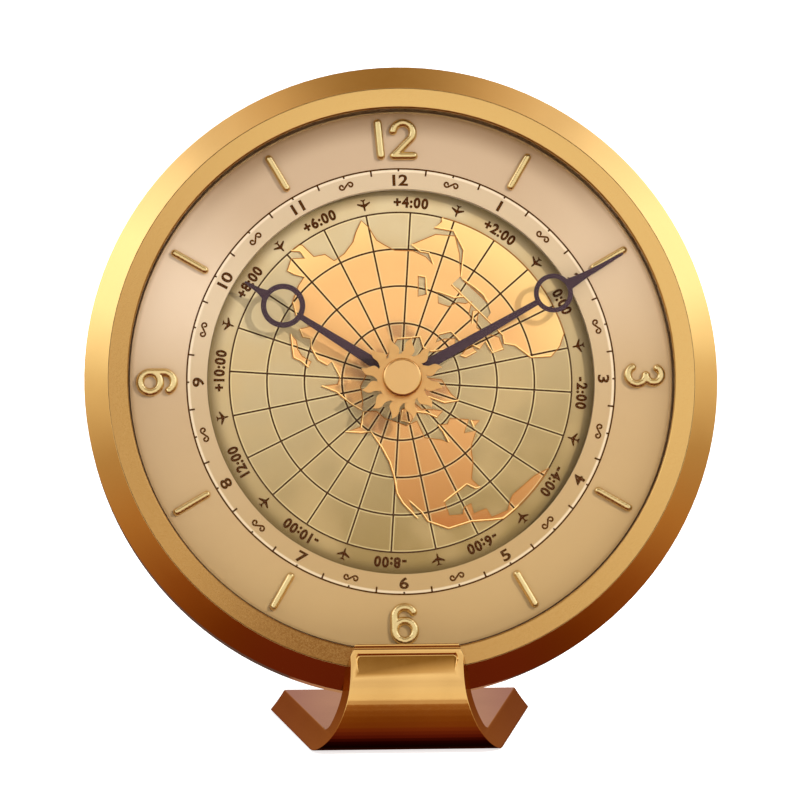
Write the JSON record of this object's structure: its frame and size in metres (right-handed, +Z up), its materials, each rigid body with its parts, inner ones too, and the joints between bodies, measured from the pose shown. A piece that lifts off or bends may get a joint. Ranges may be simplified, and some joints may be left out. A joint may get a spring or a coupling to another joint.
{
  "type": "world time clock",
  "caption": "Round desk clock with a turning world map disc, hour and minute hands and a domed glass, on a bent plate stand.",
  "frame": {"origin": "centre of the flat underside of the stand, on the table", "axes": "+Z up, the dial faces -Y and leans back 18 degrees, +X to the right of someone who reads the dial"},
  "size_m": [0.196, 0.1091, 0.2026],
  "materials": {
    "stand_gold": "polished",
    "felt": "napped felt",
    "saddle_metal": "dull",
    "screw_steel": "plated",
    "case_gold": "polished and tinted gold",
    "bezel_gold": "satin and tinted gold",
    "clear_glass": "clear",
    "gasket_dark": "matte",
    "dial_champagne": "brushed and lacquered",
    "marker_gold": "polished",
    "map_sea": "brushed and lacquered",
    "land_gold": "satin relief",
    "gear_brass": "machined",
    "hand_dark": "satin paint",
    "arbor_steel": "turned",
    "sun_gold": "satin",
    "cap_gold": "turned",
    "plate_metal": "satin",
    "motor_plastic": "moulded",
    "board_green": "lacquered board",
    "can_metal": "plated",
    "knob_black": "moulded",
    "housing_dark": "moulded",
    "cover_dark": "moulded",
    "cell_metal": "sleeved"
  },
  "bodies": {
    "case": {"stand_body": "stand_gold", "felt_pad": "felt", "saddle_block": "saddle_metal", "base_screws": "screw_steel", "case_screws": "screw_steel", "case_ring": "case_gold", "bezel_ring": "bezel_gold", "crystal": "clear_glass", "glass_gasket": "gasket_dark", "dial_plate": "dial_champagne", "dial_posts": "plate_metal", "hour_bars": "marker_gold", "numeral_twelve": "marker_gold", "numeral_three": "marker_gold", "numeral_six": "marker_gold", "numeral_nine": "marker_gold", "gear_posts": "arbor_steel", "main_plate": "plate_metal", "rear_plate": "plate_metal", "plate_pillars": "arbor_steel", "bridge_screws": "screw_steel", "centre_bush": "gear_brass", "rear_bush": "gear_brass", "motor_module": "motor_plastic", "circuit_board": "board_green", "quartz_can": "can_metal", "rear_housing": "housing_dark", "housing_screws": "screw_steel", "back_cover": "cover_dark", "back_screws": "screw_steel", "battery_holder": "housing_dark", "battery_cell": "cell_metal", "contact_plus": "can_metal", "contact_minus": "can_metal"},
    "minute": {"minute_arbor": "arbor_steel", "centre_wheel": "gear_brass", "minute_hand": "hand_dark", "sun_ornament": "sun_gold", "hub_cap": "cap_gold"},
    "hour": {"hour_wheel": "gear_brass", "hour_hand": "hand_dark"},
    "map": {"map_ring_gear": "gear_brass", "map_disc": "map_sea", "land_relief": "land_gold", "map_clip": "gear_brass"},
    "minute_wheel": {"minute_wheel": "gear_brass"},
    "map_idler": {"map_idler": "gear_brass"},
    "setting": {"setting_wheel": "gear_brass", "setting_knob": "knob_black"},
    "drive": {"drive_pinion": "arbor_steel"},
    "door": {"battery_door": "cover_dark"}
  },
  "joints": [
    {"name": "minute_turn", "type": "hinge", "parent": "case", "child": "minute", "pos_m": [0, 0.01639, 0.10849], "axis": [0, 0.9511, -0.309], "continuous": true},
    {"name": "hour_turn", "type": "hinge", "parent": "case", "child": "hour", "pos_m": [0, 0.01639, 0.10849], "axis": [0, 0.9511, -0.309], "continuous": true},
    {"name": "map_turn", "type": "hinge", "parent": "case", "child": "map", "pos_m": [0, 0.01639, 0.10849], "axis": [0, 0.9511, -0.309], "continuous": true},
    {"name": "minute_wheel_turn", "type": "hinge", "parent": "case", "child": "minute_wheel", "pos_m": [0, 0.02103, 0.12276], "axis": [0, 0.9511, -0.309], "continuous": true},
    {"name": "map_idler_turn", "type": "hinge", "parent": "case", "child": "map_idler", "pos_m": [0, 0.01083, 0.09137], "axis": [0, 0.9511, -0.309], "continuous": true},
    {"name": "setting_turn", "type": "hinge", "parent": "case", "child": "setting", "pos_m": [0.01875, 0.02103, 0.12276], "axis": [0, 0.9511, -0.309], "continuous": true},
    {"name": "drive_turn", "type": "hinge", "parent": "case", "child": "drive", "pos_m": [-0.02, 0.01639, 0.10849], "axis": [0, 0.9511, -0.309], "continuous": true},
    {"name": "door_slide", "type": "slide", "parent": "case", "child": "door", "axis": [0, 0.9511, -0.309], "range_m": [0, 0.02]}
  ],
  "couplings": [
    {"joint": "hour_turn", "follows": "minute_turn", "ratio": 0.083333},
    {"joint": "map_turn", "follows": "minute_turn", "ratio": -0.041667},
    {"joint": "minute_wheel_turn", "follows": "minute_turn", "ratio": -0.33333},
    {"joint": "map_idler_turn", "follows": "minute_turn", "ratio": -0.16667},
    {"joint": "setting_turn", "follows": "minute_turn", "ratio": 0.5},
    {"joint": "drive_turn", "follows": "minute_turn", "ratio": -3}
  ]
}
